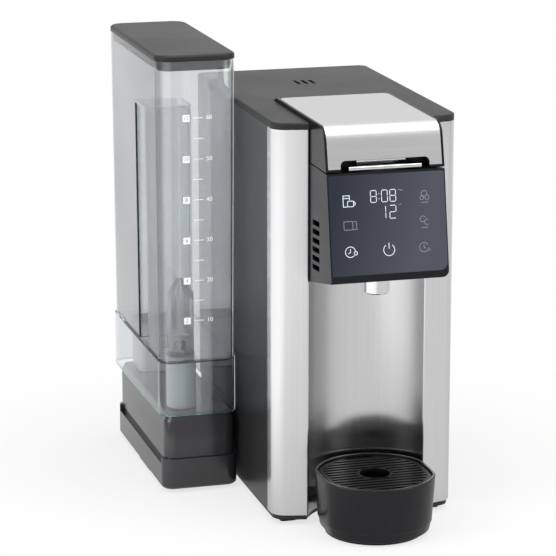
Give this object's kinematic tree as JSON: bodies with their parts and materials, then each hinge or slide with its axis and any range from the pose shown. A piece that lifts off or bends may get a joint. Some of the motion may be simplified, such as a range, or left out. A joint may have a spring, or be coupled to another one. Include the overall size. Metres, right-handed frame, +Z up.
{
  "type": "coffee maker",
  "caption": "Slim single-serve coffee maker with a bowed steel front, touch panel head, hinged lid, round drip tray and a clear tank on a swivelling stand.",
  "frame": {"origin": "on the counter, under the middle of the object's plan, tank included", "axes": "+Z up, -Y towards the machine's front, -X towards the side where the tank stands"},
  "size_m": [0.2176, 0.3594, 0.364],
  "materials": {
    "steel": "brushed",
    "housing_black": "fine satin",
    "base_black": "satin",
    "chrome": "polished",
    "panel_glass": "tinted gloss",
    "tank_clear": "clear",
    "filter_clear": "clear",
    "tank_lid_grey": "satin",
    "rubber_black": "matt",
    "silicone": "matt",
    "inner_plastic": "moulded",
    "plain_steel": "plain",
    "heater_metal": "cast",
    "circuit": "lacquered"
  },
  "bodies": {
    "machine": {"front_fascia": "steel", "bay_frame": "housing_black", "main_housing": "housing_black", "base_plate": "housing_black", "housing_screws": "plain_steel", "machine_feet": "rubber_black", "top_cover": "housing_black", "hinge_pin": "plain_steel", "head_housing": "housing_black", "control_glass": "panel_glass", "display_board": "circuit", "spout": "chrome", "spout_seal": "silicone", "brew_chamber": "inner_plastic", "pod_holder": "inner_plastic", "lower_needle": "plain_steel", "heater": "heater_metal", "heater_bracket": "inner_plastic", "thermostat": "plain_steel", "thermal_fuse": "plain_steel", "water_pump": "inner_plastic", "pump_mount": "rubber_black", "air_pump": "inner_plastic", "air_pump_mount": "rubber_black", "control_board": "circuit", "cold_hose": "silicone", "pump_hose": "silicone", "hot_hose": "silicone", "air_hose": "silicone", "hose_clamps": "plain_steel", "port_seal": "silicone", "cord_gland": "rubber_black", "pivot_post": "inner_plastic", "pivot_retainer": "plain_steel", "pivot_elbow": "inner_plastic"},
    "lid_body": {"lid_shell": "housing_black", "lid_plate": "steel", "lid_handle": "chrome", "lid_liner": "inner_plastic", "lid_tube": "silicone", "lid_catch": "inner_plastic", "pierce_needle": "plain_steel", "lid_gasket": "silicone"},
    "tray": {"tray_body": "base_black", "tray_feet": "rubber_black"},
    "grate": {"tray_grate": "base_black"},
    "reservoir_stand": {"reservoir_base": "base_black", "reservoir_seat": "base_black", "base_screws": "plain_steel", "base_feet": "rubber_black", "inlet_socket": "inner_plastic", "inlet_seal": "silicone", "base_hose": "silicone"},
    "tank_body": {"tank": "tank_clear", "valve_body": "inner_plastic", "valve_spring": "plain_steel", "tank_filter": "filter_clear"},
    "plunger": {"valve_plunger": "inner_plastic"},
    "tank_lid_body": {"tank_lid": "tank_lid_grey", "tank_lid_seal": "silicone"}
  },
  "joints": [
    {"name": "lid_hinge", "type": "hinge", "parent": "machine", "child": "lid_body", "pos_m": [0.0341, -0.01405, 0.32], "axis": [-1, 0, 0], "range_deg": [0, 85]},
    {"name": "tray_slide", "type": "slide", "parent": "machine", "child": "tray", "axis": [0, -1, 0], "range_m": [0, 0.12]},
    {"name": "grate_lift", "type": "slide", "parent": "tray", "child": "grate", "axis": [0, 0, 1], "range_m": [0, 0.06]},
    {"name": "reservoir_swivel", "type": "hinge", "parent": "machine", "child": "reservoir_stand", "pos_m": [-0.0306, 0.16095, 0.0155], "axis": [0, 0, 1], "range_deg": [-180, 0]},
    {"name": "tank_lift", "type": "slide", "parent": "reservoir_stand", "child": "tank_body", "axis": [0, 0, 1], "range_m": [0, 0.15]},
    {"name": "tank_lid_lift", "type": "slide", "parent": "tank_body", "child": "tank_lid_body", "axis": [0, 0, 1], "range_m": [0, 0.08]},
    {"name": "valve_travel", "type": "slide", "parent": "tank_body", "child": "plunger", "axis": [0, 0, 1], "range_m": [-0.003, 0], "deforming": ["valve_spring"]}
  ],
  "couplings": [
    {"joint": "valve_travel", "follows": "tank_lift", "ratio": -0.02}
  ]
}
